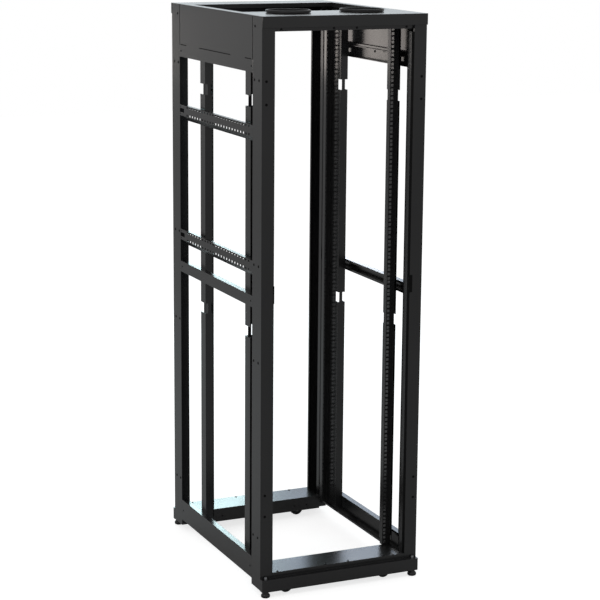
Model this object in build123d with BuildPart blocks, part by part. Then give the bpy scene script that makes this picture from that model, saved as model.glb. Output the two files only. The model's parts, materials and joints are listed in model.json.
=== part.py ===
from build123d import *
import os

# Four post open frame rack, 42 units high, standing on levelling feet with casters beside them.
# Origin: centre of the footprint, on the floor. X across the rack, Y from front to rear, Z up.
# All sizes in millimetres.

# Overall frame
frame_width = 609.6
frame_depth = 848.0
frame_top = 2009.5
sheet = 2.0
fit_gap = 0.5

# Rack units, from the standard hole pattern
rack_unit = 44.45
unit_count = 42
unit_hole_offsets = (6.35, 22.225, 38.1)
hole_columns = 465.1
square_hole = 9.5
rack_opening = 450.0

# Corner posts, folded channels open towards the middle of the rack
post_web = 78.7
post_outer_flange = 46.5
post_inner_flange = 32.0
post_inner_lip = 22.0
post_outer_lip = 10.0

# Screw holes for a side panel, one low and one high in each post's web
side_hole = 5.0
side_hole_edge = 25.0
side_hole_low = 210.0
side_hole_drop = 212.0

# Mounting rails
rail_face = 312.6
rear_rail_face = 232.6
rail_flange = 31.5
rail_lip = 20.0
rail_web = 83.6
rail_back = 26.2
rail_return = 46.0
first_unit = 90.0
rail_top = 1958.5
rail_window_height = 38.0
rail_window_inner = 3.5
rail_window_outer = 10.7
rail_window_web = 23.0
rail_window_heights = (914.0, 1716.0)

# Top of the frame
top_flange = 38.0
top_wrap = 4.5
top_overhang = 1.0
top_opening_side = 30.0
top_opening_front = 244.0
top_opening_rear = 146.0
top_lip = 15.0
beam_drop = 49.0
beam_setback = 10.0
beam_foot = 22.0

# Round port caps on the top panel, in front of the opening
port_offset = 138.0
port_setback = 167.0
port_hole_radius = 62.0
cap_radius = 77.0
cap_neck_radius = 72.0
cap_neck_height = 2.4
cap_height = 9.6
cap_wall = 7.5
cap_floor = 1.4

# Side members
brace_lip = 8.0
bracket_window_width = 12.0
bracket_window_height = 18.0
upper_brace_drop = 190.0
upper_brace_height = 43.0
mid_brace_bottom = 1020.3
mid_brace_height = 40.0
base_rail_bottom = 46.0
base_rail_height = 80.0
panel_gap = 3.0
panel_fold = 14.0
panel_slot_height = 3.0
panel_lip = 8.0
middle_slot = 295.0
end_slot = 60.0
end_slot_gap = 7.0

# Base channels
base_top = 84.0
base_tread = 117.0
base_foot_plate = 48.0
base_skirt_reach = 22.0
base_overhang = 11.2
base_upper_flange = 18.0
base_bottom = 22.0
base_inner_flange = 52.0
post_gap = 1.0

# Lacing bars on the left side
bar_height = 39.0
bar_drop = 17.0
bar_depth = 14.0
bar_prong_length = 42.3
bar_prong = 12.0
bar_bottoms = (1125.5, 1588.0)
bar_slot_pitch = 25.4
bar_slot_count = 24
bar_slot_width = 11.0
bar_slot_height = 7.0
bar_slot_lift = 5.0

# Levelling feet
foot_from_side = 29.0
foot_from_skirt = 16.0
pad_radius = 15.5
pad_top_radius = 8.0
pad_height = 6.0
pad_cone = 6.0
stud_radius = 5.0
nut_radius = 9.5
nut_height = 7.0

# Casters
caster_from_side = 113.8
front_caster_setback = 20.0
rear_caster_setback = 62.0
wheel_radius = 25.0
wheel_width = 20.0
wheel_lift = 1.0
caster_trail = 10.0
axle_radius = 4.0
axle_gap = 0.05
cheek_end = 10.0
wheel_gap = 1.0
fork_sheet = 2.5
plate_width = 62.0
plate_depth = 31.0
plate_sheet = 2.5
crown_radius = 15.0
crown_height = 7.5
crown_gap = 0.3

# Values that follow from the ones above
half_width = frame_width / 2
half_depth = frame_depth / 2
top_plate_under = frame_top - sheet
post_bottom = base_bottom + sheet
rail_outer = rack_opening / 2 + rail_flange + rail_back
brace_depth = half_width - rail_outer
wheel_centre = wheel_lift + wheel_radius
base_under = base_top - sheet
post_inner_face = half_depth - post_web
side_length = 2 * post_inner_face
upper_brace_bottom = frame_top - upper_brace_drop
upper_brace_top = upper_brace_bottom + upper_brace_height
between_posts = 2 * (half_width - post_outer_flange - post_gap)
base_half_width = half_width + base_overhang
base_outer = half_depth + base_skirt_reach
foot_x = base_half_width - foot_from_side
foot_y = base_outer - foot_from_skirt
opening_front_y = -half_depth + top_opening_front
opening_rear_y = half_depth - top_opening_rear
port_y = -half_depth + port_setback
caster_x = half_width - caster_from_side
front_caster_y = -half_depth + front_caster_setback
rear_caster_y = half_depth - rear_caster_setback

# Boxes and cylinders are placed by their lower face or by their upper face
standing = (Align.CENTER, Align.CENTER, Align.MIN)
hanging = (Align.CENTER, Align.CENTER, Align.MAX)

os.makedirs("parts", exist_ok=True)


def save(part, name):
    part.label = name
    export_step(part, f"parts/{name}.step")


def corner_post(side, end, name):
    # side is -1 for left and 1 for right, end is -1 for front and 1 for rear
    outer_x = side * half_width
    outer_y = end * half_depth
    inner_y = outer_y - end * post_web
    flange_x = outer_x - side * post_outer_flange
    inner_x = outer_x - side * post_inner_flange
    turn = Side.RIGHT if side * end > 0 else Side.LEFT
    with BuildPart() as post:
        with BuildSketch(Plane.XY.offset(post_bottom)):
            with BuildLine():
                Polyline(
                    (flange_x, outer_y - end * post_outer_lip),
                    (flange_x, outer_y),
                    (outer_x, outer_y),
                    (outer_x, inner_y),
                    (inner_x, inner_y),
                    (inner_x, inner_y + end * post_inner_lip),
                )
                offset(amount=sheet, side=turn, kind=Kind.INTERSECTION)
            make_face()
        extrude(amount=top_plate_under - post_bottom)
        # screw holes through the side web, near its outer fold
        hole_y = outer_y - end * side_hole_edge
        with BuildSketch(Plane.YZ.offset(outer_x - side * sheet)):
            with Locations((hole_y, side_hole_low), (hole_y, frame_top - side_hole_drop)):
                Circle(side_hole / 2)
        extrude(amount=side * sheet, mode=Mode.SUBTRACT)
    save(post.part, name)


def mounting_rail(side, end, face_y, name):
    # the hole flange faces out of the rack; the web runs inwards and folds back outside it
    edge_x = side * rack_opening / 2
    web_x = edge_x + side * rail_flange
    outer_x = web_x + side * rail_back
    front_y = end * face_y
    back_y = front_y - end * rail_web
    return_x = outer_x - side * sheet
    fold_y = back_y + end * sheet
    turn = Side.RIGHT if side * end > 0 else Side.LEFT
    with BuildPart() as rail:
        with BuildSketch(Plane.XY.offset(base_top)):
            with BuildLine():
                Polyline(
                    (edge_x, front_y - end * rail_lip),
                    (edge_x, front_y),
                    (web_x, front_y),
                    (web_x, fold_y),
                    (return_x, fold_y),
                    (return_x, back_y + end * rail_return),
                )
                offset(amount=sheet, side=turn, kind=Kind.INTERSECTION)
            make_face()
        extrude(amount=rail_top - base_top)
        # square mounting holes, three to a rack unit
        spots = [
            (side * hole_columns / 2, first_unit + unit * rack_unit + rise)
            for unit in range(unit_count)
            for rise in unit_hole_offsets
        ]
        with BuildSketch(Plane.XZ.offset(-front_y)):
            with Locations(*spots):
                Rectangle(square_hole, square_hole)
        extrude(amount=end * sheet, mode=Mode.SUBTRACT)
        # cable windows cut out of both corners of the fold
        inner_cut = rail_window_inner + sheet
        outer_cut_x = outer_x - side * rail_window_outer / 2
        outer_cut_y = back_y + end * rail_return / 2
        inner_cut_x = web_x - side * sheet + side * inner_cut / 2
        inner_cut_y = back_y + end * rail_window_web / 2
        for height in rail_window_heights:
            with Locations((outer_cut_x, outer_cut_y, height)):
                Box(rail_window_outer, rail_return, rail_window_height, mode=Mode.SUBTRACT)
            with Locations((inner_cut_x, inner_cut_y, height)):
                Box(inner_cut, rail_window_web, rail_window_height, mode=Mode.SUBTRACT)
    save(rail.part, name)


def side_channel(side, bottom, height, lips, name):
    # a folded channel along the side of the frame, open towards the middle
    outer_x = side * half_width
    lip_x = outer_x - side * brace_depth
    turn = Side.LEFT if side > 0 else Side.RIGHT
    corners = [
        (lip_x, bottom),
        (outer_x, bottom),
        (outer_x, bottom + height),
        (lip_x, bottom + height),
    ]
    if lips:
        corners.insert(0, (lip_x, bottom + brace_lip))
        corners.append((lip_x, bottom + height - brace_lip))
    with BuildPart() as channel:
        with BuildSketch(Plane.XZ.offset(side_length / 2)):
            with BuildLine():
                Polyline(*corners)
                offset(amount=sheet, side=turn, kind=Kind.INTERSECTION)
            make_face()
        extrude(amount=-side_length)
    save(channel.part, name)


def upper_panel(side, name):
    # a cover folded inwards on all four sides, with three slots along its lower edge
    outer_x = side * half_width
    height = top_plate_under - upper_brace_top
    length = side_length - 2 * panel_gap
    end_slot_y = length / 2 - end_slot_gap - end_slot / 2
    with BuildPart() as panel:
        with Locations((outer_x - side * panel_fold / 2, 0, upper_brace_top + height / 2)):
            Box(panel_fold, length, height)
        with Locations((outer_x - side * (panel_fold + sheet) / 2, 0, upper_brace_top + height / 2)):
            Box(panel_fold - sheet, length - 2 * sheet, height - 2 * sheet, mode=Mode.SUBTRACT)
        # an upright lip along the inner edge of the lower fold
        with Locations((outer_x - side * (panel_fold - sheet / 2), 0, upper_brace_top)):
            Box(sheet, length, panel_lip, align=standing)
        slot_x = outer_x - side * sheet / 2
        with Locations((slot_x, 0, upper_brace_top)):
            Box(sheet, middle_slot, panel_slot_height, align=standing, mode=Mode.SUBTRACT)
        with Locations((slot_x, -end_slot_y, upper_brace_top), (slot_x, end_slot_y, upper_brace_top)):
            Box(sheet, end_slot, panel_slot_height, align=standing, mode=Mode.SUBTRACT)
    save(panel.part, name)


def rail_clip(side, first_y, name):
    # a folded bracket across the upper brace; its two windowed cheeks hold the rail's return
    cheek = brace_depth - sheet
    cheek_height = upper_brace_height - 2 * sheet
    middle_z = upper_brace_bottom + upper_brace_height / 2
    middle_y = first_y + rail_return / 2
    middle_x = side * (rail_outer + cheek / 2)
    with BuildPart() as clip:
        with Locations((middle_x, middle_y, middle_z)):
            Box(cheek, rail_return, cheek_height)
        with Locations((middle_x - side * sheet / 2, middle_y, middle_z)):
            Box(cheek - sheet, rail_return - 2 * sheet, cheek_height, mode=Mode.SUBTRACT)
            Box(bracket_window_width, rail_return, bracket_window_height, mode=Mode.SUBTRACT)
    save(clip.part, name)


# Corner posts
ends = {"front": -1, "rear": 1}
sides = {"left": -1, "right": 1}
for end_name, end in ends.items():
    for side_name, side in sides.items():
        corner_post(side, end, f"{end_name}_{side_name}_post")

# Mounting rails
for side_name, side in sides.items():
    mounting_rail(side, -1, rail_face, f"front_{side_name}_rail")
    mounting_rail(side, 1, rear_rail_face, f"rear_{side_name}_rail")

# Side members between the posts
front_return_y = -rail_face + rail_web - rail_return
rear_return_y = rear_rail_face - rail_web
for side_name, side in sides.items():
    side_channel(side, upper_brace_bottom, upper_brace_height, False, f"{side_name}_upper_brace")
    side_channel(side, mid_brace_bottom, mid_brace_height, True, f"{side_name}_middle_brace")
    side_channel(side, base_rail_bottom, base_rail_height, True, f"{side_name}_base_rail")
    upper_panel(side, f"{side_name}_upper_panel")
    rail_clip(side, front_return_y, f"front_{side_name}_rail_clip")
    rail_clip(side, rear_return_y, f"rear_{side_name}_rail_clip")

# Top panel: a plate over the posts with a front and a rear flange, open in the middle
tray_half_width = half_width + top_overhang
tray_half_depth = half_depth + top_wrap
opening_half_width = half_width - top_opening_side
opening_length = opening_rear_y - opening_front_y
opening_middle = (opening_rear_y + opening_front_y) / 2
with BuildPart() as top_panel:
    with BuildSketch(Plane.XY.offset(top_plate_under)):
        Rectangle(2 * tray_half_width, 2 * tray_half_depth)
        with Locations((0, opening_middle)):
            Rectangle(2 * opening_half_width, opening_length, mode=Mode.SUBTRACT)
        with Locations((-port_offset, port_y), (port_offset, port_y)):
            Circle(port_hole_radius, mode=Mode.SUBTRACT)
    extrude(amount=sheet)
    flange_y = tray_half_depth - sheet / 2
    with Locations((0, -flange_y, frame_top), (0, flange_y, frame_top)):
        Box(2 * tray_half_width, sheet, top_flange, align=hanging)
    # a folded lip all round the opening
    with BuildSketch(Plane.XY.offset(frame_top)):
        with Locations((0, opening_middle)):
            Rectangle(2 * (opening_half_width + sheet), opening_length + 2 * sheet)
            Rectangle(2 * opening_half_width, opening_length, mode=Mode.SUBTRACT)
    extrude(amount=-top_lip)
save(top_panel.part, "top_panel")


def port_cap(side, name):
    # a round dished cap on a narrower neck, closing a port of the top panel
    rim_bottom = frame_top + cap_neck_height
    rim_height = cap_height - cap_neck_height
    with BuildPart() as cap:
        with Locations((side * port_offset, port_y, frame_top)):
            Cylinder(cap_neck_radius, cap_neck_height, align=standing)
        with Locations((side * port_offset, port_y, rim_bottom)):
            Cylinder(cap_radius, rim_height, align=standing)
        with Locations((side * port_offset, port_y, frame_top + cap_floor)):
            Cylinder(cap_radius - cap_wall, cap_height, align=standing, mode=Mode.SUBTRACT)
    save(cap.part, name)


for side_name, side in sides.items():
    port_cap(side, f"{side_name}_port_cap")


def top_beam(end, name):
    # an angle between the posts, set back behind the tray's flange
    face_y = end * (half_depth - beam_setback)
    with BuildPart() as beam:
        with Locations((0, face_y - end * sheet / 2, top_plate_under)):
            Box(between_posts, sheet, beam_drop, align=hanging)
        with Locations((0, face_y - end * beam_foot / 2, top_plate_under - beam_drop + sheet)):
            Box(between_posts, beam_foot, sheet, align=hanging)
    save(beam.part, name)


for end_name, end in ends.items():
    top_beam(end, f"{end_name}_top_beam")


def base_channel(end, name):
    # a flat tread between the posts, then a step down to a ledge and an outer skirt
    inner_y = end * (half_depth - base_tread)
    step_y = end * (half_depth + sheet)
    outer_y = end * base_outer
    ledge = base_top - base_upper_flange
    turn = Side.RIGHT if end > 0 else Side.LEFT
    with BuildPart() as base:
        with BuildSketch(Plane.YZ.offset(-between_posts / 2)):
            with BuildLine():
                Polyline(
                    (inner_y, base_top - base_inner_flange),
                    (inner_y, base_top),
                    (step_y, base_top),
                    (step_y, ledge),
                    (outer_y, ledge),
                    (outer_y, base_bottom),
                )
                offset(amount=sheet, side=turn, kind=Kind.INTERSECTION)
            make_face()
        extrude(amount=between_posts)
        # the ledge and the skirt run past the posts on both sides
        with BuildSketch(Plane.YZ.offset(-base_half_width)):
            with BuildLine():
                Polyline((end * half_depth, ledge), (outer_y, ledge), (outer_y, base_bottom))
                offset(amount=sheet, side=turn, kind=Kind.INTERSECTION)
            make_face()
        extrude(amount=2 * base_half_width)
        # foot plates folded in under the posts
        plate_length = base_half_width - between_posts / 2
        plate_x = base_half_width - plate_length / 2
        with BuildSketch(Plane.XY.offset(base_bottom)):
            with Locations((-plate_x, end * (base_outer - base_foot_plate / 2))):
                Rectangle(plate_length, base_foot_plate)
            with Locations((plate_x, end * (base_outer - base_foot_plate / 2))):
                Rectangle(plate_length, base_foot_plate)
            with Locations((-foot_x, end * foot_y), (foot_x, end * foot_y)):
                Circle(stud_radius + fit_gap, mode=Mode.SUBTRACT)
        extrude(amount=sheet)
    save(base.part, name)


for end_name, end in ends.items():
    base_channel(end, f"{end_name}_base")


def lacing_bar(bottom, name):
    # a perforated folded strip on the left side; two prongs reach back to the rear post
    outer_x = -half_width
    inner_x = outer_x + bar_depth
    front_y = -post_inner_face
    rear_y = post_inner_face - bar_prong_length
    fold = bottom + bar_drop
    top = fold + bar_height
    with BuildPart() as bar:
        with BuildSketch(Plane.XZ.offset(-front_y)):
            with BuildLine():
                Polyline((inner_x, top), (outer_x, top), (outer_x, fold), (inner_x, bottom))
                offset(amount=sheet, side=Side.LEFT, kind=Kind.INTERSECTION)
            make_face()
        extrude(amount=front_y - rear_y)
        with Locations((outer_x, rear_y, fold), (outer_x, rear_y, top - bar_prong)):
            Box(sheet, bar_prong_length, bar_prong, align=(Align.MIN, Align.MIN, Align.MIN))
        row_y = (front_y + rear_y) / 2
        with BuildSketch(Plane.YZ.offset(outer_x)):
            with Locations((row_y, fold + bar_slot_lift), (row_y, top - bar_slot_lift)):
                with GridLocations(bar_slot_pitch, 0, bar_slot_count, 1):
                    Rectangle(bar_slot_width, bar_slot_height)
        extrude(amount=sheet, mode=Mode.SUBTRACT)
    save(bar.part, name)


for bar_name, bottom in zip(("lower_lacing_bar", "upper_lacing_bar"), bar_bottoms):
    lacing_bar(bottom, bar_name)


def levelling_foot(side, end, name):
    # a pad with a coned top, a stud up through the foot plate and a nut under the plate
    stud_top = base_top - base_upper_flange - sheet
    with BuildPart() as foot:
        with Locations((side * foot_x, end * foot_y, 0)):
            Cylinder(pad_radius, pad_height, align=standing)
        with Locations((side * foot_x, end * foot_y, pad_height)):
            Cone(pad_radius, pad_top_radius, pad_cone, align=standing)
        with Locations((side * foot_x, end * foot_y, pad_height + pad_cone)):
            Cylinder(stud_radius, stud_top - pad_height - pad_cone, align=standing)
        with BuildSketch(Plane.XY.offset(base_bottom - nut_height)):
            with Locations((side * foot_x, end * foot_y)):
                RegularPolygon(nut_radius, 6)
        extrude(amount=nut_height)
    save(foot.part, name)


def caster(side, centre_y, prefix):
    # every wheel trails to the left of its swivel pin, as after a push to the right
    swivel_x = side * caster_x
    wheel_x = swivel_x - caster_trail
    fork_top = base_under - plate_sheet - crown_gap
    fork_half = wheel_width / 2 + wheel_gap
    with BuildPart() as plate:
        with Locations((swivel_x, centre_y, base_under)):
            Box(plate_width, plate_depth, plate_sheet, align=hanging)
    save(plate.part, f"{prefix}_caster_plate")
    with BuildPart() as fork:
        with Locations((swivel_x, centre_y, fork_top)):
            Cylinder(crown_radius, crown_height, align=hanging)
        # two cheeks that narrow towards the axle
        for cheek in (-1, 1):
            cheek_y = centre_y + cheek * (fork_half + fork_sheet / 2)
            with BuildSketch(Plane.XZ.offset(-cheek_y - fork_sheet / 2)):
                with BuildLine():
                    Polyline(
                        (swivel_x - cheek_end, fork_top),
                        (swivel_x + cheek_end, fork_top),
                        (wheel_x + cheek_end, wheel_centre),
                        (wheel_x + cheek_end / 2, wheel_centre - cheek_end),
                        (wheel_x - cheek_end / 2, wheel_centre - cheek_end),
                        (wheel_x - cheek_end, wheel_centre),
                        close=True,
                    )
                make_face()
            extrude(amount=fork_sheet)
        with Locations(Location((wheel_x, centre_y, wheel_centre), (90, 0, 0))):
            Cylinder(axle_radius, 2 * (fork_half + fork_sheet))
    save(fork.part, f"{prefix}_caster_fork")
    with BuildPart() as wheel:
        with BuildSketch(Plane.XZ.offset(-centre_y - wheel_width / 2)):
            with Locations((wheel_x, wheel_centre)):
                Circle(wheel_radius)
                Circle(axle_radius + axle_gap, mode=Mode.SUBTRACT)
        extrude(amount=wheel_width)
    save(wheel.part, f"{prefix}_caster_wheel")


caster_rows = {"front": front_caster_y, "rear": rear_caster_y}
for end_name, end in ends.items():
    for side_name, side in sides.items():
        levelling_foot(side, end, f"{end_name}_{side_name}_foot")
        caster(side, caster_rows[end_name], f"{end_name}_{side_name}")
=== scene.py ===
import json
import math

import bmesh
import bpy
from mathutils import Matrix, Vector


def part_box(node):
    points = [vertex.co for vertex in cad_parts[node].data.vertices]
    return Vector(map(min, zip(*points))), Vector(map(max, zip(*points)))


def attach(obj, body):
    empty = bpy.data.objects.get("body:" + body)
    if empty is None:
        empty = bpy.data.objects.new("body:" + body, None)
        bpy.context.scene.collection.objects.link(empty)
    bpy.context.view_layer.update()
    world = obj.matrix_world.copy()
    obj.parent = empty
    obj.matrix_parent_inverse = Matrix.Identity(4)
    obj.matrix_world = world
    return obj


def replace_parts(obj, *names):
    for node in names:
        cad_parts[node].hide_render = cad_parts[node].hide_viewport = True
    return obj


# Four post open frame rack: its finishes, fasteners and small fittings, the studio and the camera.
# The frame is in metres; sizes below are in millimetres unless said, and mm turns them into metres.

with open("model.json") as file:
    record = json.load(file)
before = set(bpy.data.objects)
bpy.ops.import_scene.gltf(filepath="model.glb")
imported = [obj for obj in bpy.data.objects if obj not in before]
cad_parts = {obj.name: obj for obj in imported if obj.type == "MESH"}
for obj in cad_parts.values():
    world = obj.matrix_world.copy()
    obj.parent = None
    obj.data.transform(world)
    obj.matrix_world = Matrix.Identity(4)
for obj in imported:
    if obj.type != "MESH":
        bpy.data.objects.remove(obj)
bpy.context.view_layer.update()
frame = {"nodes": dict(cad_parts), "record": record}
nodes = frame["nodes"]
mm = 0.001
sides = {"left": -1, "right": 1}
ends = {"front": -1, "rear": 1}
body = "frame"

# Camera, solved from the rack's own holes: metres, radians and pixels of the square photograph
camera_place = Vector((-2.75003, -6.17583, 2.39438))
camera_yaw = 0.422922
camera_pitch = 0.210000
camera_roll = -0.0079447
camera_reach = 100.0
focal_pixels = 1893.47
photo_pixels = 600.0
sensor_mm = 36.0

# Studio: levels, colours and metres
world_level = 0.5
floor_size = 14.0
floor_colour = 0.65
floor_glow = 0.75
white = (1.0, 1.0, 1.0)
warm = (1.0, 0.9, 0.83)
cool = (0.82, 0.93, 1.0)
cyan = (0.7, 0.97, 1.0)
blue = (0.5, 0.68, 1.0)

# Powder coat: scales of its cloudiness and orange peel, the peel's depth and the edges, in metres
coat_colour = (0.012, 0.012, 0.0125)
coat_roughness = 0.24
coat_grain = 0.06
coat_spread = 0.12
cloud_scale = 6.0
cloud_detail = 4.0
cloud_limits = (0.3, 0.7)
peel_scale = 900.0
peel_detail = 2.0
peel_depth = 0.0003
fold_edge = 0.0018
flush_edge = 0.0001
edge_samples = 4
coat_sheen_swing = 0.04

# Plated and oxidised metal
blotch_scale = 60.0
blotch_shade = 0.8
metal_sheen_swing = 0.08

# Heads of screws, bolts and nuts, each a radius and a height, and how far they reach into a face
beam_screw_head = (4.0, 2.2)
inner_screw_head = (3.6, 2.0)
keeper_screw_head = (3.0, 1.6)
brace_screw_head = (3.6, 0.9)
bar_screw_head = (2.6, 0.9)
earth_bolt_head = (4.2, 4.0)
plate_bolt_head = (3.4, 2.6)
axle_nut_head = (5.6, 3.6)
swivel_nut_head = (6.5, 4.5)
head_sink = 0.2
head_corners = 24
hexagon = 6

# Threaded inserts in the posts, as distances from the outer faces and heights above the floor
insert_edge = 25.0
insert_inner_edge = 65.0
insert_top_edge = 60.0
insert_heights = (210.0, 836.0, 1171.0, 1797.5)
insert_top_height = 1974.5
open_heights = (210.0, 1797.5)
door_insert_edge = 16.3
door_insert_heights = (292.0, 368.0, 1719.0, 1796.0)
insert_radius = 4.6
insert_rise = 0.75
insert_chamfer = 0.4
insert_bore = 2.35
insert_bore_lead = 0.35
filled_bore = 0.1
open_bore = -1.6

# Screws of the top beams and of the base
beam_screw_x = (-232.0, -40.0, 45.0, 232.0)
beam_screw_lift = 6.5
tread_screw_x = (-236.0, -53.0, 37.0, 176.0)
tread_screw_edge = 8.0
inner_screw_x = (-203.0, -153.0, 151.0, 203.0)
inner_screw_drop = 30.5
earth_bolt_x = 216.0
earth_bolt_edge = 9.0

# Screws at the ends of the braces and of the lacing bars
brace_screw_edge = 14.0
bar_screw_edge = 6.0
bar_screw_drops = (6.0, 33.0)

# Keepers for the door latch, folded over the free edge of the front posts
keeper_bottom = 1044.0
keeper_height = 61.0
keeper_faces = {"left": 3.0, "right": 9.5}
keeper_depth = 10.0
keeper_sheet = 1.5
keeper_edge = 0.35
keeper_screw_shares = (0.2, 0.8)
keeper_screw_depth_share = 0.6
post_flange = 46.5

# Free lip of the front posts, measured from their front face, and a dark strip of painted shade in
# front of it
lip_start = 19.9
lip_reach = 24.0
lip_top_gap = 60.0
edge_shade_rise = 0.4
edge_shade_sink = 0.2
edge_shade_gap = 1.0
edge_shade_edge = 0.1

# Inner return lips of the lacing bars
bar_depth = 14.0
bar_lip_height = 10.5
bar_lip_drop = 0.2
bar_lip_start = 3.0
bar_lip_shorter_by = 60.0

# Base channels, seen from the front: tread, step, ledge and a skirt that turns round both ends
skirt_reach = 22.0
skirt_corner = 6.0
skirt_bottom = 22.0
skirt_edge = 0.4
corner_steps = 6
ledge_height = 66.0
ledge_setback = 1.0
ledge_drop = 0.05
tread_inner_y = 307.0
tread_flange_bottom = 32.0
tread_end_gap = 0.1
tread_edge = 0.5
foot_plate_depth = 48.0
step_setback = 0.3
wall = 2.0
sheet_edge = 0.3

# Slots along the lower edge of each upper side panel, and a dark strip of painted shade in each
slot_lengths = (60.0, 295.0, 60.0)
slot_middles = (-305.0, 0.0, 305.0)
slot_height = 3.0
slot_shade_depth = 0.8
slot_shade_thickness = 1.0
slot_shade_edge = 0.1

# Painted shade of the gap at each end of the upper side panels
gap_shade_width = 2.6
gap_shade_relief = 0.08
gap_shade_edge = 0.02

# Cable clip on the right upper brace, half its outline given as half widths and rises
clip_y = -70.0
clip_drop = 12.0
clip_width = 5.0
clip_overhang = 1.0
clip_edge = 0.4
clip_half_outline = ((4.0, 0.0), (3.0, 6.0), (1.5, 8.0))

# Levelling feet: the stud's thread, its socketed tip and the moulded boot's radii and heights
thread_bottom = 21.6
thread_top_gap = 1.6
thread_root = 4.95
thread_crest = 5.35
thread_pitch = 1.25
thread_flank = 0.6
thread_corners = 20
tip_lift = 2.0
tip_bottom = -2.2
tip_radius = 5.2
tip_shoulder = 6.0
tip_chamfer = (4.4, 7.4)
tip_height = 8.0
tip_face_radius = 2.6
tip_socket_radii = (2.5, 2.4)
tip_socket_floor = 5.0
boot_rings = (
    (12.5, 0.0), (14.6, 1.2), (15.9, 3.6), (16.2, 6.6), (15.6, 9.6),
    (13.9, 12.4), (11.6, 14.6), (10.4, 16.8), (10.1, 19.5), (10.1, 21.9),
)
boot_corners = 40

# Casters: bolts of the plate, the axle, and the wheel's half profile as radii and offsets
bolt_spread_x = 24.0
bolt_spread_y = 10.0
axle_height = 26.0
fork_half = 13.5
crown_depth = 7.5
tyre_radius = 25.6
tyre_shoulder = (25.3, 7.2)
tyre_edge = (24.2, 9.4)
tyre_corners = 48
wheel_face = 9.8
rim_inner = 17.5
rim_outer = 20.5
rim_top = 10.5
rim_slope = 0.5
rim_corners = 40
hub_rings = ((9.0, 9.8), (8.5, 10.6), (5.0, 10.6), (4.6, 9.8))
hub_corners = 32
race_inner = 14.9
race_outer = 16.3
race_low = -6.4
race_high = -1.6
race_chamfer = 1.0
race_corners = 40

# Port caps: the bead round the rim, measured from the cap's edge and top, and the rings on its floor
bead_rings = ((7.2, -0.4), (6.4, 0.5), (1.2, 0.5), (0.2, -0.6))
bead_corners = 72
cap_floor = 1.4
rib_radii = (20.0, 42.0)
rib_half = 1.2
rib_slope = 0.4
rib_sink = 0.2
rib_rise = 1.0
rib_corners = 56

# Edges that turn by more than this stay sharp, in degrees
sharp_angle = 35.0


# Finishes


def surface(name):
    # a material with one shader, and the object's own coordinates for its patterns
    material = bpy.data.materials.new(name)
    material.use_nodes = True
    tree = material.node_tree
    tree.nodes.clear()
    out = tree.nodes.new("ShaderNodeOutputMaterial")
    shader = tree.nodes.new("ShaderNodeBsdfPrincipled")
    tree.links.new(shader.outputs["BSDF"], out.inputs["Surface"])
    place = tree.nodes.new("ShaderNodeTexCoord")
    return material, tree, shader, place.outputs["Object"]


def noise(tree, place, scale, detail=None):
    pattern = tree.nodes.new("ShaderNodeTexNoise")
    pattern.inputs["Scale"].default_value = scale
    if detail is not None:
        pattern.inputs["Detail"].default_value = detail
    tree.links.new(place, pattern.inputs["Vector"])
    return pattern.outputs["Fac"]


def blend_colours(tree, shader, pattern, first, second, positions=(0.0, 1.0)):
    tint = tree.nodes.new("ShaderNodeValToRGB")
    for element, position, colour in zip(tint.color_ramp.elements, positions, (first, second)):
        element.position = position
        element.color = (*colour, 1.0)
    tree.links.new(pattern, tint.inputs["Fac"])
    tree.links.new(tint.outputs["Color"], shader.inputs["Base Color"])


def vary_roughness(tree, shader, pattern, roughness, swing):
    sheen = tree.nodes.new("ShaderNodeMapRange")
    sheen.inputs["To Min"].default_value = roughness - swing
    sheen.inputs["To Max"].default_value = roughness + swing
    tree.links.new(pattern, sheen.inputs["Value"])
    tree.links.new(sheen.outputs["Result"], shader.inputs["Roughness"])


def coat_material(name, colour, roughness, grain, spread, gloss=0.5, soft_edge=fold_edge):
    # powder coat: a fine orange peel, a slight cloudiness in the gloss and softened fold edges
    material, tree, shader, place = surface(name)
    shader.inputs["Specular IOR Level"].default_value = gloss
    cloud = noise(tree, place, cloud_scale, cloud_detail)
    dark = [c * (1.0 - spread) for c in colour]
    light = [c * (1.0 + spread) for c in colour]
    blend_colours(tree, shader, cloud, dark, light, positions=cloud_limits)
    vary_roughness(tree, shader, cloud, roughness, coat_sheen_swing)
    bump = tree.nodes.new("ShaderNodeBump")
    bump.inputs["Strength"].default_value = grain
    bump.inputs["Distance"].default_value = peel_depth
    tree.links.new(noise(tree, place, peel_scale, peel_detail), bump.inputs["Height"])
    bevel = tree.nodes.new("ShaderNodeBevel")
    bevel.samples = edge_samples
    bevel.inputs["Radius"].default_value = soft_edge
    tree.links.new(bevel.outputs["Normal"], bump.inputs["Normal"])
    tree.links.new(bump.outputs["Normal"], shader.inputs["Normal"])
    return material


def metal_material(name, colour, roughness):
    # plated or oxidised steel with a faint blotch and an uneven sheen
    material, tree, shader, place = surface(name)
    shader.inputs["Metallic"].default_value = 1.0
    blotch = noise(tree, place, blotch_scale)
    blend_colours(tree, shader, blotch, [c * blotch_shade for c in colour], colour)
    vary_roughness(tree, shader, blotch, roughness, metal_sheen_swing)
    return material


def powder_coat(name, soft_edge):
    return coat_material(
        name, coat_colour, coat_roughness, coat_grain, coat_spread, soft_edge=soft_edge
    )


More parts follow.
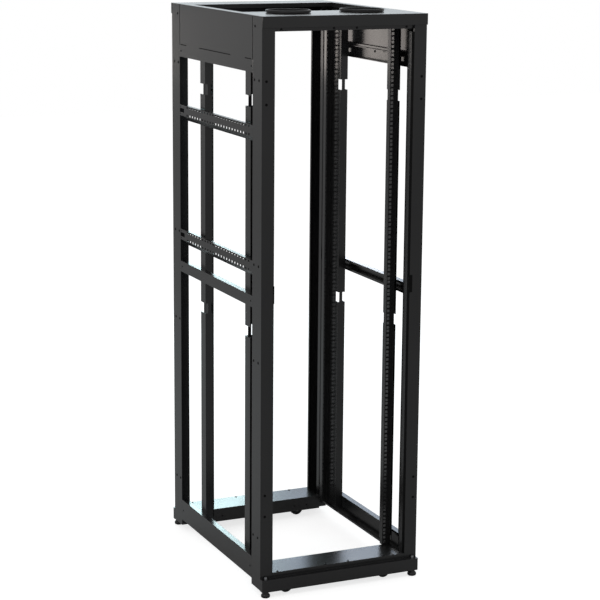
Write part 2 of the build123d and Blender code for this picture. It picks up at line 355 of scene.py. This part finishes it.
black_coat = powder_coat("black_powder_coat", fold_edge)
flush_coat = powder_coat("flush_powder_coat", flush_edge)
black_oxide = metal_material("black_oxide", (0.03, 0.03, 0.032), roughness=0.45)
# a very dark matt finish for the inserts and the latch keepers, also used as painted shade in the
# panel slots, the panel gaps and along the front posts' free edges
dark_matt_and_painted_shade = coat_material(
    "dark_matt_and_painted_shade", (0.004, 0.004, 0.004), roughness=0.7, grain=0.05, spread=0.1, gloss=0.1
)
zinc = metal_material("zinc_plate", (0.42, 0.43, 0.45), roughness=0.38)
wheel_plastic = coat_material(
    "wheel_plastic", (0.016, 0.016, 0.017), roughness=0.45, grain=0.08, spread=0.1
)
cap_plastic = coat_material(
    "cap_plastic", (0.018, 0.018, 0.019), roughness=0.4, grain=0.1, spread=0.1
)
foot_black = coat_material(
    "foot_black", (0.01, 0.01, 0.0105), roughness=0.35, grain=0.06, spread=0.1
)

looks = {
    "frame_coat": black_coat,
    "caster_metal": zinc,
    "foot": foot_black,
    "wheel": wheel_plastic,
    "port_cap": cap_plastic,
}
for part in frame["record"]["subparts"]:
    mesh = nodes[part["node"]].data
    mesh.materials.clear()
    mesh.materials.append(looks[part["material_slot"]])
# the upper panel and the brace below it lie in one plane and meet without a visible joint
for side_name in sides:
    for node in (f"{side_name}_upper_panel", f"{side_name}_upper_brace"):
        nodes[node].data.materials[0] = flush_coat


# Shapes, each a list of corners in millimetres and a list of faces


def turned(rings, corners, closed=False):
    # each ring is a radius and a height, and a number of flats where it isn't round;
    # closed joins the last ring to the first, for a piece with a hole through it
    points = []
    for radius, height, *flats in rings:
        for step in range(corners):
            angle = 2 * math.pi * step / corners
            reach = radius
            if flats:
                flat_angle = 2 * math.pi / flats[0]
                offset = angle % flat_angle - flat_angle / 2
                reach = radius * math.cos(flat_angle / 2) / math.cos(offset)
            points.append((reach * math.cos(angle), reach * math.sin(angle), height))
    faces = []
    count = len(rings)
    for ring in range(count if closed else count - 1):
        here = ring * corners
        there = (ring + 1) % count * corners
        for step in range(corners):
            after = (step + 1) % corners
            faces.append((here + step, here + after, there + after, there + step))
    if not closed:
        last = (count - 1) * corners
        faces.append(tuple(reversed(range(corners))))
        faces.append(tuple(range(last, last + corners)))
    return points, faces


def raised_ring(inner, outer, low, high, slope, corners):
    # a ring whose two flanks lean in by slope
    rings = ((inner, low), (inner + slope, high), (outer - slope, high), (outer, low))
    return turned(rings, corners, closed=True)


def button_head(radius, height):
    # a domed head with a hexagon socket
    rings = (
        (radius, -head_sink),
        (radius, 0.25 * height),
        (0.92 * radius, 0.6 * height),
        (0.75 * radius, 0.88 * height),
        (0.55 * radius, height),
        (0.46 * radius, height, hexagon),
        (0.44 * radius, 0.35 * height, hexagon),
    )
    return turned(rings, head_corners)


def hex_head(radius, height):
    # a hexagon head on a round flange, with a chamfered crown
    rings = (
        (1.25 * radius, -head_sink),
        (1.25 * radius, 0.15 * height),
        (1.02 * radius, 0.25 * height),
        (radius, 0.27 * height, hexagon),
        (radius, 0.88 * height, hexagon),
        (0.82 * radius, height),
    )
    return turned(rings, head_corners)


def insert_rim(bore_floor):
    # the flange of a threaded insert round its bore
    rings = (
        (insert_radius, -head_sink),
        (insert_radius, 0.6 * insert_rise),
        (insert_radius - insert_chamfer, insert_rise),
        (insert_bore + insert_bore_lead, insert_rise),
        (insert_bore, bore_floor),
    )
    return turned(rings, head_corners)


def extruded(section, length, soft):
    # a straight piece along local Z with all its edges softened
    work = bmesh.new()
    low = [work.verts.new((x, y, 0.0)) for x, y in section]
    high = [work.verts.new((x, y, length)) for x, y in section]
    count = len(section)
    for step in range(count):
        after = (step + 1) % count
        work.faces.new((low[step], low[after], high[after], high[step]))
    work.faces.new(list(reversed(low)))
    work.faces.new(high)
    bmesh.ops.recalc_face_normals(work, faces=work.faces)
    bmesh.ops.bevel(work, geom=work.edges[:], offset=soft, segments=2, affect="EDGES", profile=0.5)
    work.verts.index_update()
    points = [tuple(vert.co) for vert in work.verts]
    faces = [tuple(vert.index for vert in face.verts) for face in work.faces]
    work.free()
    return points, faces


def oblong(first_x, first_y, last_x, last_y):
    # the four corners of a section, from one corner to the opposite one
    return [(first_x, first_y), (last_x, first_y), (last_x, last_y), (first_x, last_y)]


def walled(path, thickness):
    # an open path in a plane turned into a wall of even thickness, with mitred corners
    path = [Vector(point) for point in path]
    normals = []
    for start, end in zip(path, path[1:]):
        run = (end - start).normalized()
        normals.append(Vector((-run.y, run.x)))
    shifted = []
    for index, point in enumerate(path):
        before = normals[max(index - 1, 0)]
        after = normals[min(index, len(normals) - 1)]
        middle = (before + after).normalized()
        shifted.append(point + middle * (thickness / middle.dot(after)))
    return [tuple(point) for point in path + shifted[::-1]]


def arc(centre_x, centre_y, radius, start, end, steps):
    # points along an arc, angles in degrees
    points = []
    for step in range(steps + 1):
        angle = math.radians(start + (end - start) * step / steps)
        points.append((centre_x + radius * math.cos(angle), centre_y + radius * math.sin(angle)))
    return points


# Places, each a matrix in millimetres


def at(x=0.0, y=0.0, z=0.0):
    return Matrix.Translation((x, y, z))


def along_x(x, y=0.0, z=0.0):
    # local X and Y lie on global Y and Z, and local Z runs along global X
    return at(x, y, z) @ Matrix(((0, 0, 1, 0), (1, 0, 0, 0), (0, 1, 0, 0), (0, 0, 0, 1)))


def along_y(y):
    # local X and Y lie on global X and Z, and local Z runs along global Y
    return at(y=y) @ Matrix(((1, 0, 0, 0), (0, 0, 1, 0), (0, 1, 0, 0), (0, 0, 0, 1)))


def facing(x, y, z, direction):
    # local Z points along the direction
    return at(x, y, z) @ Vector(direction).to_track_quat("Z", "Y").to_matrix().to_4x4()


def add_piece(name, shapes, rider, material):
    # joins shapes, each a shape and its place, into one mesh that rides on a body
    points = []
    faces = []
    for (corners, shape_faces), place in shapes:
        first = len(points)
        points.extend(place @ Vector(corner) * mm for corner in corners)
        faces.extend(tuple(first + index for index in face) for face in shape_faces)
    mesh = bpy.data.meshes.new(name)
    mesh.from_pydata(points, [], faces)
    work = bmesh.new()
    work.from_mesh(mesh)
    bmesh.ops.recalc_face_normals(work, faces=work.faces)
    work.to_mesh(mesh)
    work.free()
    mesh.shade_smooth()
    mesh.set_sharp_from_angle(angle=math.radians(sharp_angle))
    mesh.materials.append(material)
    piece = bpy.data.objects.new(name, mesh)
    bpy.context.scene.collection.objects.link(piece)
    # large faces keep their own direction beside the narrow softened edges
    weighted = piece.modifiers.new("weighted", "WEIGHTED_NORMAL")
    weighted.keep_sharp = True
    weighted.weight = 100
    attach(piece, rider)
    return piece


def box_mm(node):
    low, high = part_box(node)
    return low / mm, high / mm


# Places taken from the frame
post_low, post_high = box_mm("front_left_post")
half_width = -post_low.x
half_depth = -post_low.y
post_edge_x = half_width - post_flange
tread_top = box_mm("front_base")[1].z
plate_bottom = box_mm("front_left_caster_plate")[0].z


# Base channels


def base_outline(end, setback):
    # the plan of the ledge from one end round the front to the other, with rounded corners
    outer_y = half_depth + skirt_reach - setback
    outer_x = half_width - setback
    radius = skirt_corner - setback
    corner_x = outer_x - radius
    corner_y = outer_y - radius
    points = [(-outer_x, half_depth - step_setback)]
    points += arc(-corner_x, corner_y, radius, 180, 90, corner_steps)
    points += arc(corner_x, corner_y, radius, 90, 0, corner_steps)
    points.append((outer_x, half_depth - step_setback))
    return [(x, end * y) for x, y in points]


def tread_and_step(end, reach):
    step_y = end * (half_depth - step_setback)
    path = [
        (end * tread_inner_y, tread_flange_bottom),
        (end * tread_inner_y, tread_top),
        (step_y, tread_top),
        (step_y, ledge_height - wall),
    ]
    return extruded(walled(path, end * -wall), 2 * reach, tread_edge), along_x(-reach)


def add_base(end_name, end):
    reach = post_edge_x - tread_end_gap
    shapes = [tread_and_step(end, reach)]
    skirt = walled(base_outline(end, 0.0), end * -wall)
    shapes.append((extruded(skirt, ledge_height - skirt_bottom, skirt_edge), at(z=skirt_bottom)))
    ledge = base_outline(end, ledge_setback)
    shapes.append((extruded(ledge, wall, sheet_edge), at(z=ledge_height - wall - ledge_drop)))
    outer_y = half_depth + skirt_reach - wall
    for side in sides.values():
        foot_plate = oblong(
            side * reach, end * outer_y, side * (half_width - wall), end * (outer_y - foot_plate_depth)
        )
        shapes.append((extruded(foot_plate, wall, sheet_edge), at(z=skirt_bottom)))
    piece = add_piece(f"{end_name}_base_channel", shapes, body, black_coat)
    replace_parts(piece, f"{end_name}_base")


# Sheet metal details of the posts, bars, braces and panels


def add_post_lips():
    # the free lip of each front post runs on towards the rear, and a dark strip in front of it, along
    # the post's free edge, is painted shade
    lips = []
    edge_shade_strips = []
    lip_front = -half_depth + lip_start
    height = post_high.z - lip_top_gap - tread_top
    for side in sides.values():
        lip = oblong(
            side * post_edge_x, lip_front, side * (post_edge_x + wall), lip_front + lip_reach
        )
        lips.append((extruded(lip, height, sheet_edge), at(z=tread_top)))
        edge_shade_strip = oblong(
            side * (post_edge_x - edge_shade_rise),
            -half_depth + edge_shade_gap,
            side * (post_edge_x + edge_shade_sink),
            lip_front - edge_shade_gap,
        )
        edge_shade_strips.append((extruded(edge_shade_strip, height, edge_shade_edge), at(z=tread_top)))
    add_piece("post_free_lips", lips, body, black_coat)
    add_piece("post_edge_shade", edge_shade_strips, body, dark_matt_and_painted_shade)


def add_bar_lips():
    shapes = []
    for name in ("lower_lacing_bar", "upper_lacing_bar"):
        low, high = box_mm(name)
        inner_x = low.x + bar_depth
        section = oblong(
            inner_x - wall, high.z - bar_lip_height, inner_x, high.z - bar_lip_drop
        )
        length = high.y - low.y - bar_lip_shorter_by
        shapes.append((extruded(section, length, sheet_edge), along_y(low.y + bar_lip_start)))
    add_piece("bar_return_lips", shapes, body, black_coat)


def add_brace_clip():
    # a small cable clip on the inner edge of the right upper brace
    low, high = box_mm("right_upper_brace")
    mirrored = [(-across, rise) for across, rise in reversed(clip_half_outline)]
    clip = extruded([*clip_half_outline, *mirrored], clip_width, clip_edge)
    place = along_x(low.x - clip_overhang, clip_y, high.z - clip_drop)
    add_piece("brace_cable_clip", [(clip, place)], body, wheel_plastic)


def add_slot_shade():
    # a dark strip in each slot is painted shade
    shapes = []
    for side_name, side in sides.items():
        low = box_mm(f"{side_name}_upper_panel")[0]
        start = side * (half_width - slot_shade_depth) - slot_shade_thickness / 2
        for middle, length in zip(slot_middles, slot_lengths):
            strip = extruded(
                oblong(-length / 2, 0.0, length / 2, slot_height), slot_shade_thickness, slot_shade_edge
            )
            shapes.append((strip, along_x(start, middle, low.z)))
    add_piece("panel_slot_shade_strips", shapes, body, dark_matt_and_painted_shade)


def add_gap_shade():
    # a dark strip painting the shade in the narrow gap between each upper side panel and the posts
    # beside it
    shapes = []
    for side_name, side in sides.items():
        low, high = box_mm(f"{side_name}_upper_panel")
        for y in (low.y, high.y):
            strip = oblong(
                side * (half_width - gap_shade_relief),
                y - gap_shade_width / 2,
                side * (half_width + gap_shade_relief),
                y + gap_shade_width / 2,
            )
            shapes.append((extruded(strip, high.z - low.z, gap_shade_edge), at(z=low.z)))
    add_piece("panel_end_gap_shade", shapes, body, dark_matt_and_painted_shade)


# Inserts and screws


def add_post_inserts():
    shapes = []
    for side in sides.values():
        outwards = (side, 0, 0)
        for end in ends.values():
            for height in insert_heights:
                for edge in (insert_edge, insert_inner_edge):
                    through = edge == insert_edge and height in open_heights
                    spot = facing(side * half_width, end * (half_depth - edge), height, outwards)
                    shapes.append((insert_rim(open_bore if through else filled_bore), spot))
            top_y = end * (half_depth - insert_top_edge)
            spot = facing(side * half_width, top_y, insert_top_height, outwards)
            shapes.append((insert_rim(filled_bore), spot))
            for height in door_insert_heights:
                door_x = side * (half_width - door_insert_edge)
                spot = facing(door_x, end * half_depth, height, (0, end, 0))
                shapes.append((insert_rim(filled_bore), spot))
    add_piece("post_inserts", shapes, body, dark_matt_and_painted_shade)


def add_beam_screws():
    shapes = []
    for end_name, end in ends.items():
        low, high = box_mm(f"{end_name}_top_beam")
        face = low.y if end < 0 else high.y
        for x in beam_screw_x:
            spot = facing(x, face, low.z + beam_screw_lift, (0, end, 0))
            shapes.append((button_head(*beam_screw_head), spot))
    add_piece("beam_screws", shapes, body, black_oxide)


def add_base_screws():
    shapes = []
    for end in ends.values():
        edge_y = end * (half_depth - tread_screw_edge)
        for x in tread_screw_x:
            shapes.append((button_head(*beam_screw_head), facing(x, edge_y, tread_top, (0, 0, 1))))
    for end_name, end in ends.items():
        low, high = box_mm(f"{end_name}_base")
        face = high.y if end < 0 else low.y
        for x in inner_screw_x:
            spot = facing(x, face, tread_top - inner_screw_drop, (0, -end, 0))
            shapes.append((button_head(*inner_screw_head), spot))
    add_piece("base_screws", shapes, body, black_oxide)


def add_earth_bolt():
    spot = facing(earth_bolt_x, -half_depth + earth_bolt_edge, tread_top, (0, 0, 1))
    add_piece("earth_bolt", [(hex_head(*earth_bolt_head), spot)], body, zinc)


def add_side_screws():
    # screws that hold the braces, the base rails and the lacing bars
    shapes = []
    for side_name, side in sides.items():
        for brace in ("upper_brace", "middle_brace", "base_rail"):
            low, high = box_mm(f"{side_name}_{brace}")
            for end in ends.values():
                y = end * (high.y - brace_screw_edge)
                spot = facing(side * half_width, y, (low.z + high.z) / 2, (side, 0, 0))
                shapes.append((button_head(*brace_screw_head), spot))
    for name in ("lower_lacing_bar", "upper_lacing_bar"):
        low, high = box_mm(name)
        for drop in bar_screw_drops:
            spot = facing(low.x, high.y - bar_screw_edge, high.z - drop, (-1, 0, 0))
            shapes.append((button_head(*bar_screw_head), spot))
    add_piece("side_screws", shapes, body, black_oxide)


# Latch keepers


def keeper_section(side, face):
    # an angle round the free edge of a front post, with a leg on the face and one along the lip
    outer_y = -half_depth - keeper_sheet
    inner_x = post_edge_x - keeper_sheet
    rear_y = -half_depth + keeper_depth
    return [
        (side * (post_edge_x + face), outer_y),
        (side * inner_x, outer_y),
        (side * inner_x, rear_y),
        (side * post_edge_x, rear_y),
        (side * post_edge_x, -half_depth),
        (side * (post_edge_x + face), -half_depth),
    ]


def add_latch_keepers():
    shapes = []
    screws = []
    screw_y = -half_depth + keeper_screw_depth_share * keeper_depth
    for side_name, side in sides.items():
        section = keeper_section(side, keeper_faces[side_name])
        shapes.append((extruded(section, keeper_height, keeper_edge), at(z=keeper_bottom)))
        for share in keeper_screw_shares:
            height = keeper_bottom + share * keeper_height
            spot = facing(side * (post_edge_x - keeper_sheet), screw_y, height, (-side, 0, 0))
            screws.append((button_head(*keeper_screw_head), spot))
    add_piece("latch_keepers", shapes, body, dark_matt_and_painted_shade)
    add_piece("latch_keeper_screws", screws, body, black_oxide)


# Levelling feet


def thread(top):
    # a row of ridges up the stud
    rings = []
    height = thread_bottom
    while height < top - thread_top_gap:
        rings.append((thread_root, height))
        rings.append((thread_crest, height + thread_flank))
        rings.append((thread_root, height + 2 * thread_flank))
        height += thread_pitch
    return turned(rings, thread_corners)


def stud_tip():
    # the chamfered end of the stud, with a hexagon socket
    mouth_radius, floor_radius = tip_socket_radii
    rings = (
        (tip_radius, tip_bottom),
        (tip_radius, tip_shoulder),
        tip_chamfer,
        (tip_face_radius, tip_height),
        (mouth_radius, tip_height, hexagon),
        (floor_radius, tip_socket_floor, hexagon),
    )
    return turned(rings, head_corners)


def add_foot_details():
    # a thread on each levelling stud, its socketed end above the ledge, and a moulded boot below
    threads = []
    boots = []
    feet = []
    for end_name in ends:
        for side_name in sides:
            foot = f"{end_name}_{side_name}_foot"
            low, high = box_mm(foot)
            x = (low.x + high.x) / 2
            y = (low.y + high.y) / 2
            threads.append((thread(high.z), at(x, y)))
            threads.append((stud_tip(), at(x, y, high.z + tip_lift)))
            boots.append((turned(boot_rings, boot_corners), at(x, y)))
            feet.append(foot)
    add_piece("stud_threads", threads, body, zinc)
    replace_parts(add_piece("foot_boots", boots, body, foot_black), *feet)


# Casters


def wheel_shapes():
    # the tyre's crowned tread, and a rim and a hub ring raised on both faces
    shoulder_radius, shoulder = tyre_shoulder
    edge_radius, edge = tyre_edge
    tread = (
        (edge_radius, -edge),
        (shoulder_radius, -shoulder),
        (tyre_radius, 0.0),
        (shoulder_radius, shoulder),
        (edge_radius, edge),
    )
    shapes = [turned(tread, tyre_corners)]
    for turn in (-1, 1):
        shapes.append(
            raised_ring(
                rim_inner, rim_outer, turn * wheel_face, turn * rim_top, rim_slope, rim_corners
            )
        )
        hub = [(radius, turn * offset) for radius, offset in hub_rings]
        shapes.append(turned(hub, hub_corners, closed=True))
    return shapes


def bearing_race():
    rings = (
        (race_inner, race_low),
        (race_outer, race_low + race_chamfer),
        (race_outer, race_high - race_chamfer),
        (race_inner, race_high),
    )
    return turned(rings, race_corners, closed=True)


def fork_shapes(wheel_x, swivel_x, swivel_y, fork_top):
    # the axle's two nuts, the nut under the fork's crown and the swivel bearing's race
    shapes = []
    for turn in (-1, 1):
        spot = facing(wheel_x, swivel_y + turn * fork_half, axle_height, (0, turn, 0))
        shapes.append((hex_head(*axle_nut_head), spot))
    crown = facing(swivel_x, swivel_y, fork_top - crown_depth, (0, 0, -1))
    shapes.append((hex_head(*swivel_nut_head), crown))
    shapes.append((bearing_race(), at(swivel_x, swivel_y, fork_top)))
    return shapes


def plate_bolts(swivel_x, swivel_y):
    shapes = []
    for x in (-bolt_spread_x, bolt_spread_x):
        for y in (-bolt_spread_y, bolt_spread_y):
            spot = facing(swivel_x + x, swivel_y + y, plate_bottom, (0, 0, -1))
            shapes.append((hex_head(*plate_bolt_head), spot))
    return shapes


def add_caster_details():
    bolts = []
    for end_name in ends:
        for side_name in sides:
            caster = f"{end_name}_{side_name}_caster"
            low, high = box_mm(f"{caster}_plate")
            swivel_x = (low.x + high.x) / 2
            swivel_y = (low.y + high.y) / 2
            low, high = box_mm(f"{caster}_wheel")
            wheel_x = (low.x + high.x) / 2
            fork_top = box_mm(f"{caster}_fork")[1].z
            bolts += plate_bolts(swivel_x, swivel_y)
            axle = facing(wheel_x, swivel_y, axle_height, (0, 1, 0))
            tyre = [(shape, axle) for shape in wheel_shapes()]
            add_piece(f"{caster}_tyre", tyre, f"{caster}_wheel", wheel_plastic)
            metal = fork_shapes(wheel_x, swivel_x, swivel_y, fork_top)
            add_piece(f"{caster}_axle_nuts", metal, f"{caster}_fork", zinc)
    add_piece("caster_bolts", bolts, body, zinc)


# Port caps


def add_cap_beads():
    # a bead round each port cap's rim and raised rings on its floor
    shapes = []
    for side_name in sides:
        low, high = box_mm(f"{side_name}_port_cap")
        x = (low.x + high.x) / 2
        y = (low.y + high.y) / 2
        radius = (high.x - low.x) / 2
        bead = [(radius - inset, high.z + rise) for inset, rise in bead_rings]
        shapes.append((turned(bead, bead_corners, closed=True), at(x, y)))
        floor = low.z + cap_floor
        for middle in rib_radii:
            rib = raised_ring(
                middle - rib_half,
                middle + rib_half,
                floor - rib_sink,
                floor + rib_rise,
                rib_slope,
                rib_corners,
            )
            shapes.append((rib, at(x, y)))
    add_piece("port_cap_beads", shapes, body, cap_plastic)


for end_name, end in ends.items():
    add_base(end_name, end)
add_post_lips()
add_bar_lips()
add_brace_clip()
add_slot_shade()
add_gap_shade()
add_post_inserts()
add_beam_screws()
add_base_screws()
add_earth_bolt()
add_latch_keepers()
add_foot_details()
add_caster_details()
add_side_screws()
add_cap_beads()


# Camera and studio


def add_camera():
    forward = Vector((
        math.sin(camera_yaw) * math.cos(camera_pitch),
        math.cos(camera_yaw) * math.cos(camera_pitch),
        -math.sin(camera_pitch),
    ))
    level_right = Vector((math.cos(camera_yaw), -math.sin(camera_yaw), 0.0))
    level_down = forward.cross(level_right)
    right = math.cos(camera_roll) * level_right + math.sin(camera_roll) * level_down
    down = math.cos(camera_roll) * level_down - math.sin(camera_roll) * level_right
    camera = bpy.data.cameras.new("camera")
    camera.sensor_fit = "HORIZONTAL"
    camera.sensor_width = sensor_mm
    camera.lens = focal_pixels / photo_pixels * sensor_mm
    camera.clip_end = camera_reach
    holder = bpy.data.objects.new("camera", camera)
    bpy.context.scene.collection.objects.link(holder)
    turn = Matrix((right, -down, -forward)).transposed()
    holder.matrix_world = Matrix.Translation(camera_place) @ turn.to_4x4()
    bpy.context.scene.camera = holder


def floor_material():
    # matt, and bright enough to the camera alone that its unshaded parts are white
    material = bpy.data.materials.new("floor")
    material.use_nodes = True
    tree = material.node_tree
    tree.nodes.clear()
    link = tree.links.new
    out = tree.nodes.new("ShaderNodeOutputMaterial")
    matt = tree.nodes.new("ShaderNodeBsdfDiffuse")
    matt.inputs["Color"].default_value = (floor_colour, floor_colour, floor_colour, 1.0)
    glow = tree.nodes.new("ShaderNodeEmission")
    glow.inputs["Color"].default_value = (*white, 1.0)
    rays = tree.nodes.new("ShaderNodeLightPath")
    seen = tree.nodes.new("ShaderNodeMath")
    seen.operation = "MULTIPLY"
    seen.inputs[1].default_value = floor_glow
    link(rays.outputs["Is Camera Ray"], seen.inputs[0])
    link(seen.outputs["Value"], glow.inputs["Strength"])
    both = tree.nodes.new("ShaderNodeAddShader")
    link(matt.outputs["BSDF"], both.inputs[0])
    link(glow.outputs["Emission"], both.inputs[1])
    link(both.outputs["Shader"], out.inputs["Surface"])
    return material


def add_floor():
    corners = [(x, y, 0.0) for x, y in oblong(-floor_size, -floor_size, floor_size, floor_size)]
    mesh = bpy.data.meshes.new("floor")
    mesh.from_pydata(corners, [], [(0, 1, 2, 3)])
    mesh.materials.append(floor_material())
    floor = bpy.data.objects.new("floor", mesh)
    bpy.context.scene.collection.objects.link(floor)


def background(tree, level):
    shader = tree.nodes.new("ShaderNodeBackground")
    shader.inputs["Color"].default_value = (*white, 1.0)
    shader.inputs["Strength"].default_value = level
    return shader.outputs["Background"]


def add_world():
    # white to the camera, and a plain soft level as light
    world = bpy.data.worlds.new("studio")
    bpy.context.scene.world = world
    world.use_nodes = True
    tree = world.node_tree
    tree.nodes.clear()
    link = tree.links.new
    out = tree.nodes.new("ShaderNodeOutputWorld")
    rays = tree.nodes.new("ShaderNodeLightPath")
    mix = tree.nodes.new("ShaderNodeMixShader")
    link(rays.outputs["Is Camera Ray"], mix.inputs["Fac"])
    link(background(tree, world_level), mix.inputs[1])
    link(background(tree, 1.0), mix.inputs[2])
    link(mix.outputs["Shader"], out.inputs["Surface"])


def add_light(name, place, target, width, height, level, tint=white):
    # an area lamp whose face is as bright as a white card lit to this level; places in metres
    light = bpy.data.lights.new(name, "AREA")
    light.shape = "RECTANGLE"
    light.size = width
    light.size_y = height
    light.energy = level * math.pi * width * height
    light.color = tint
    holder = bpy.data.objects.new(name, light)
    holder.location = place
    aim = Vector(target) - Vector(place)
    holder.rotation_euler = aim.to_track_quat("-Z", "Y").to_euler()
    holder.visible_camera = False
    bpy.context.scene.collection.objects.link(holder)


def add_lights():
    add_light(
        "key",
        place=(-4.0, -3.0, 4.5), target=(0.0, 0.0, 1.2),
        width=2.0, height=2.0, level=3.0,
    )
    # far behind the rack, where the top panel and the upper flanges mirror it
    add_light(
        "rear_backdrop",
        place=(2.6, 6.0, 2.9), target=(0.0, 0.0, 2.4),
        width=6.0, height=1.9, level=0.9, tint=cool,
    )
    # close behind the rack, where the inner faces of the right side mirror it
    add_light(
        "rear_left_card",
        place=(-0.30, 1.2, 1.80), target=(0.3, 0.0, 1.9),
        width=0.28, height=0.28, level=3.0, tint=warm,
    )
    # where the top of the right middle brace mirrors it
    add_light(
        "rear_low_card",
        place=(1.45, 2.5, 1.6), target=(0.3, 0.1, 1.05),
        width=0.4, height=0.16, level=6.0,
    )
    # where the left part of the rear tread and the left base rail mirror it
    add_light(
        "rear_softbox",
        place=(0.9, 3.9, 1.42), target=(0.0, 0.3, 0.3),
        width=1.1, height=0.6, level=9.0, tint=cyan,
    )
    # where the front tread mirrors it, on both sides of the rear right post's own reflection
    add_light(
        "rear_right_softbox",
        place=(2.05, 3.9, 1.7), target=(0.0, -0.4, 0.1),
        width=0.9, height=0.6, level=1.9, tint=blue,
    )


add_camera()
add_floor()
add_world()
add_lights()

bpy.context.scene.view_settings.view_transform = "Standard"
